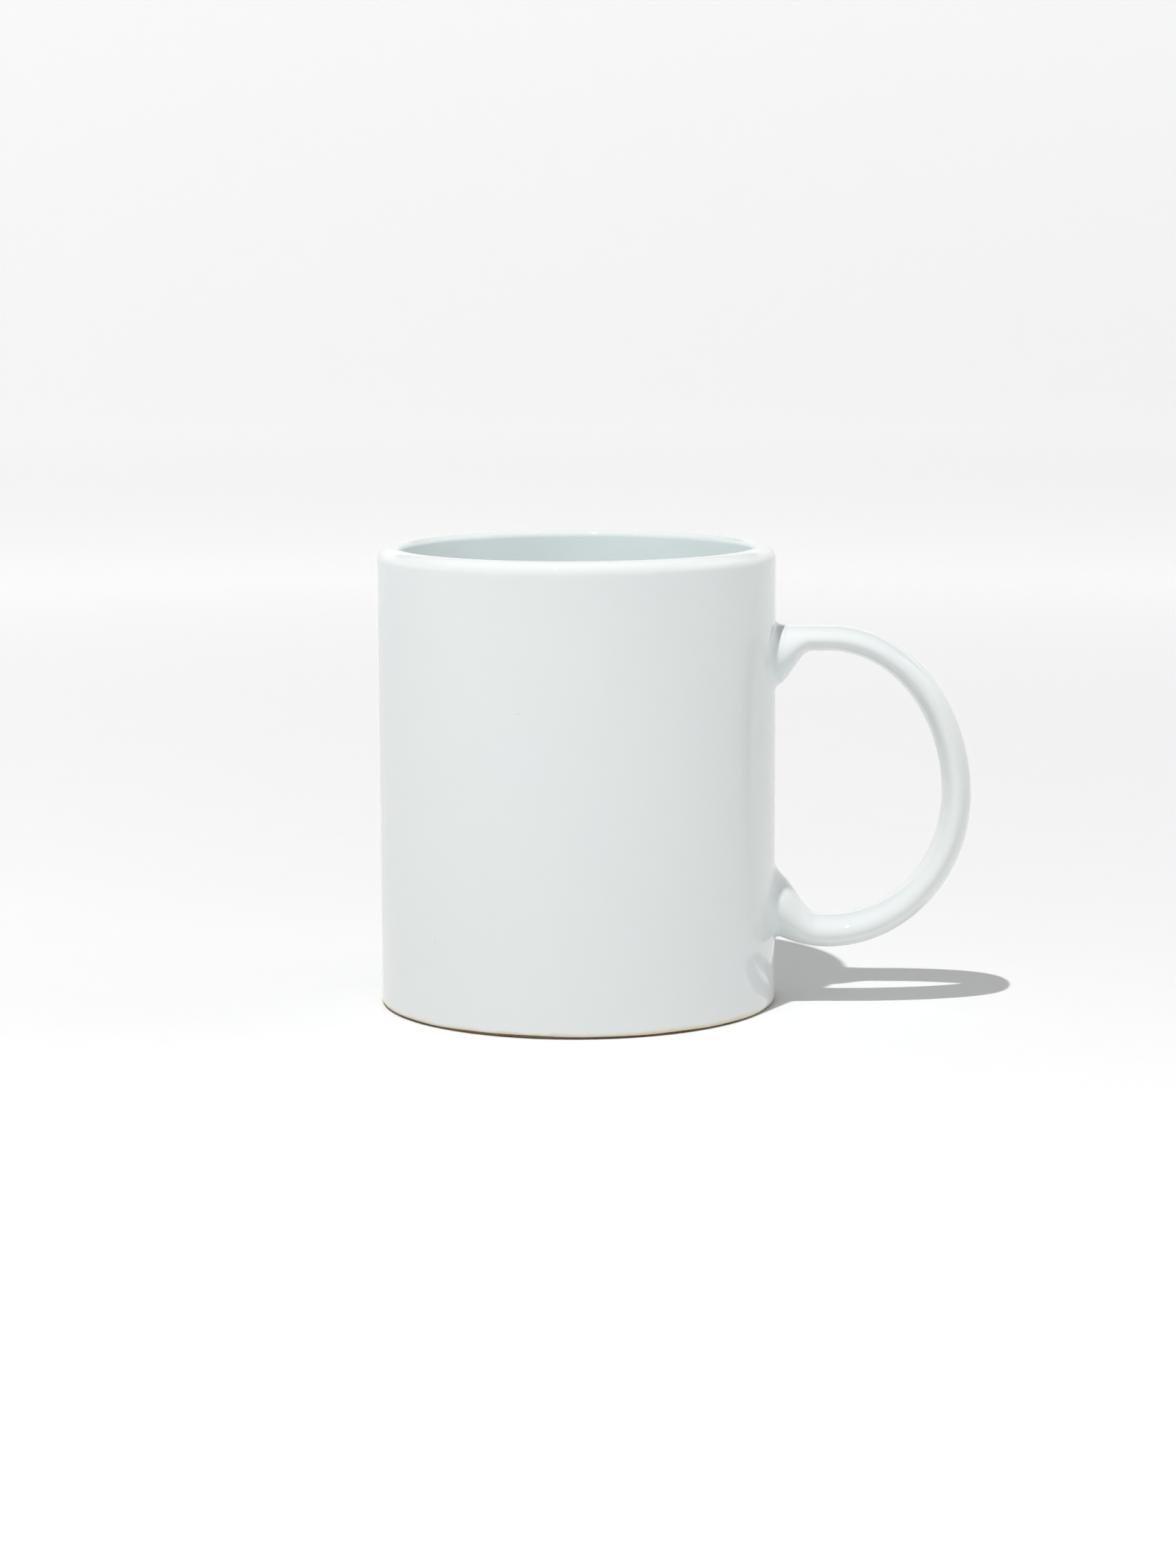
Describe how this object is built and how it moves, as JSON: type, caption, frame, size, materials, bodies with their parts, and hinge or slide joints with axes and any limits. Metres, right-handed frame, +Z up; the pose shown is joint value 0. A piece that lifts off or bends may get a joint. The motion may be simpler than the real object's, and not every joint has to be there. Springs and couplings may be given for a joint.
{
  "type": "ceramic mug",
  "caption": "Straight-sided white glazed ceramic mug with a rounded loop handle, a rounded lip and a bare clay foot ring.",
  "frame": {"origin": "on the mug's axis, at the flat of the foot ring that it stands on", "axes": "+Z up along the cup's axis and out of its mouth, +X towards the handle, so the part is the same on both sides of the XZ plane"},
  "size_m": [0.1224, 0.082, 0.095],
  "materials": {
    "fired_clay": "matt bisque, bare only on the foot ring",
    "fired_slip": "matt bisque, under the glaze",
    "outer_glaze": "gloss white",
    "liner_glaze": "gloss white, a little cooler",
    "base_glaze": "gloss white"
  },
  "bodies": {
    "root": {"cup_body": "fired_clay", "handle": "fired_clay", "upper_slip_joint": "fired_slip", "lower_slip_joint": "fired_slip", "outer_glaze": "outer_glaze", "liner_glaze": "liner_glaze", "base_glaze": "base_glaze"}
  },
  "joints": []
}
